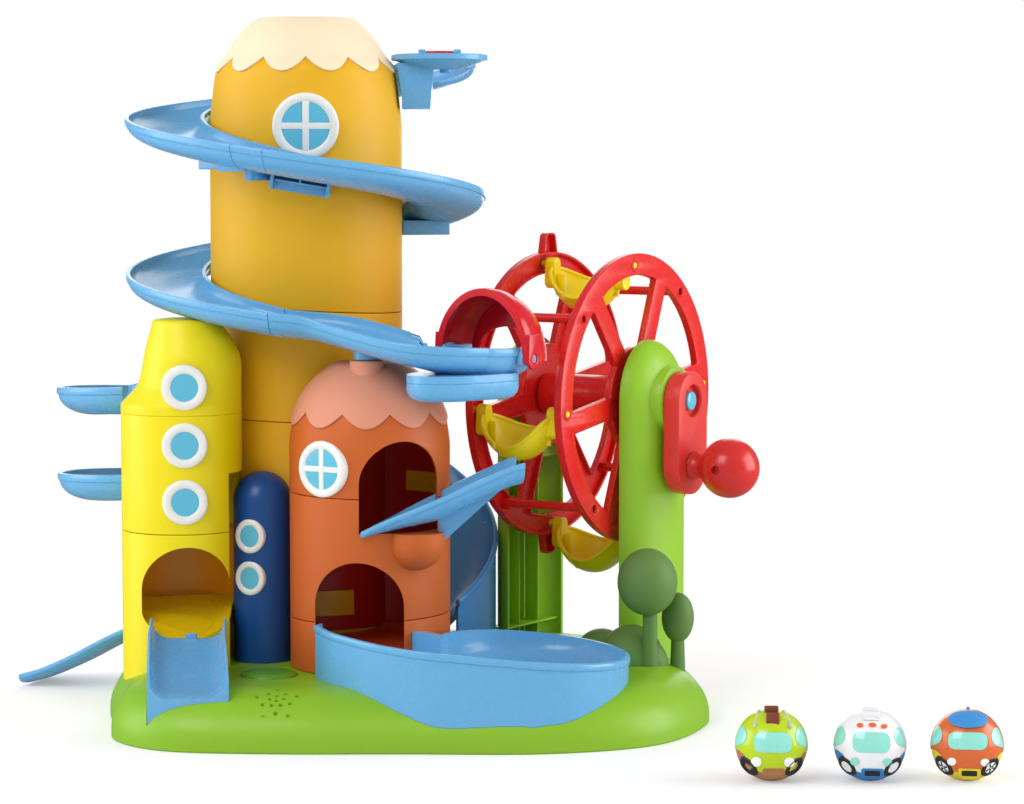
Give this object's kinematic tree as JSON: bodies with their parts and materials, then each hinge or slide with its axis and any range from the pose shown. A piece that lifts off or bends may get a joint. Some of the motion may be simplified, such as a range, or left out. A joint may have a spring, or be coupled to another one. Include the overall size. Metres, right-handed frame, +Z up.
{
  "type": "toy car playset",
  "caption": "Child's ball-car playset of stacked coloured towers, a spiral slide, a crank-turned lift wheel with hanging buckets, a catch basin and separate ball cars.",
  "frame": {"origin": "middle of the underside of the base, on the surface that the toy stands on", "axes": "+X to the player's right, +Y away from the player, +Z up"},
  "size_m": [0.8893, 0.6079, 0.6464],
  "materials": {
    "grass_green": "satin",
    "dark_green": "satin",
    "amber_yellow": "matte",
    "cream": "matte",
    "white": "gloss",
    "lemon_yellow": "satin",
    "deep_blue": "satin",
    "burnt_orange": "matte",
    "peach": "matte",
    "sun_yellow": "satin",
    "sky_blue": "gloss",
    "steel_blue": "satin",
    "cherry_red": "gloss",
    "leaf_green": "matte",
    "black": "matte",
    "lime": "gloss",
    "brown": "satin",
    "bright_blue": "gloss",
    "bright_orange": "gloss"
  },
  "bodies": {
    "frame": {"base_shell": "grass_green", "base_plate": "grass_green", "battery_door": "grass_green", "post_front": "grass_green", "post_back": "grass_green", "amber_lower": "amber_yellow", "amber_middle": "amber_yellow", "amber_upper": "amber_yellow", "amber_roof": "cream", "amber_window": "white", "orange_window": "white", "lemon_porthole_1": "white", "lemon_porthole_2": "white", "lemon_porthole_3": "white", "blue_porthole_1": "white", "blue_porthole_2": "white", "lemon_lower": "lemon_yellow", "lemon_middle": "lemon_yellow", "lemon_upper": "lemon_yellow", "blue_tower": "deep_blue", "orange_lower": "burnt_orange", "orange_middle": "burnt_orange", "orange_upper": "burnt_orange", "orange_floor": "burnt_orange", "orange_roof": "peach", "lemon_floor": "sun_yellow", "inner_track": "sun_yellow", "spiral_upper": "sky_blue", "spiral_lower": "sky_blue", "end_tray": "sky_blue", "top_platform": "sky_blue", "basin": "sky_blue", "small_ramp": "sky_blue", "upper_loop": "sky_blue", "lower_loop": "sky_blue", "exit_ramp": "sky_blue", "front_chute": "sky_blue", "back_chute": "steel_blue", "trees_and_bush": "leaf_green", "sound_module": "black", "speaker": "black"},
    "button": {"sound_button": "dark_green"},
    "wheel": {"wheel_front": "cherry_red", "wheel_back": "cherry_red", "wheel_drum": "cherry_red", "crank_arm": "cherry_red", "crank_screw": "sky_blue"},
    "knob": {"crank_knob": "cherry_red"},
    "bucket_one": {"bucket_1": "sun_yellow"},
    "bucket_two": {"bucket_2": "sun_yellow"},
    "bucket_three": {"bucket_3": "sun_yellow"},
    "bucket_four": {"bucket_4": "sun_yellow"},
    "hood_body": {"hood": "cherry_red"},
    "flap": {"platform_flap": "cherry_red"},
    "car_one": {"car_1_upper": "lime", "car_1_lower": "brown"},
    "car_two": {"car_2_upper": "white", "car_2_lower": "bright_blue"},
    "car_three": {"car_3_upper": "bright_orange", "car_3_lower": "sun_yellow"}
  },
  "joints": [
    {"name": "button_press", "type": "slide", "parent": "frame", "child": "button", "axis": [0, 0, -1], "range_m": [0, 0.003], "stiffness_N_per_m": 300, "springref_m": -0.001},
    {"name": "wheel_spin", "type": "hinge", "parent": "frame", "child": "wheel", "pos_m": [0.1725, 0.075, 0.288], "axis": [0.8387, -0.5446, 0], "continuous": true},
    {"name": "knob_spin", "type": "hinge", "parent": "wheel", "child": "knob", "pos_m": [0.1725, 0.075, 0.227], "axis": [0.8387, -0.5446, 0], "continuous": true},
    {"name": "hood_tilt", "type": "hinge", "parent": "frame", "child": "hood_body", "pos_m": [0.075, -0.075, 0.335], "axis": [0.8387, -0.5446, 0], "range_deg": [0, 45]},
    {"name": "flap_lift", "type": "hinge", "parent": "frame", "child": "flap", "pos_m": [0.029, 0.072, 0.6132], "axis": [-1, 0, 0], "range_deg": [0, 90]},
    {"name": "bucket_one_swing", "type": "hinge", "parent": "wheel", "child": "bucket_one", "pos_m": [0.241, 0.1805, 0.2946], "axis": [0.8387, -0.5446, 0], "continuous": true},
    {"name": "bucket_two_swing", "type": "hinge", "parent": "wheel", "child": "bucket_two", "pos_m": [0.1689, 0.0695, 0.4138], "axis": [0.8387, -0.5446, 0], "continuous": true},
    {"name": "bucket_three_swing", "type": "hinge", "parent": "wheel", "child": "bucket_three", "pos_m": [0.104, -0.0305, 0.2814], "axis": [0.8387, -0.5446, 0], "continuous": true},
    {"name": "bucket_four_swing", "type": "hinge", "parent": "wheel", "child": "bucket_four", "pos_m": [0.1761, 0.0805, 0.1622], "axis": [0.8387, -0.5446, 0], "continuous": true},
    {"name": "car_one_lift", "type": "slide", "parent": "frame", "child": "car_one", "axis": [0, 0, 1], "range_m": [0, 0.25]},
    {"name": "car_two_lift", "type": "slide", "parent": "frame", "child": "car_two", "axis": [0, 0, 1], "range_m": [0, 0.25]},
    {"name": "car_three_lift", "type": "slide", "parent": "frame", "child": "car_three", "axis": [0, 0, 1], "range_m": [0, 0.25]}
  ],
  "couplings": [
    {"joint": "bucket_one_swing", "follows": "wheel_spin", "ratio": -1},
    {"joint": "bucket_two_swing", "follows": "wheel_spin", "ratio": -1},
    {"joint": "bucket_three_swing", "follows": "wheel_spin", "ratio": -1},
    {"joint": "bucket_four_swing", "follows": "wheel_spin", "ratio": -1}
  ]
}
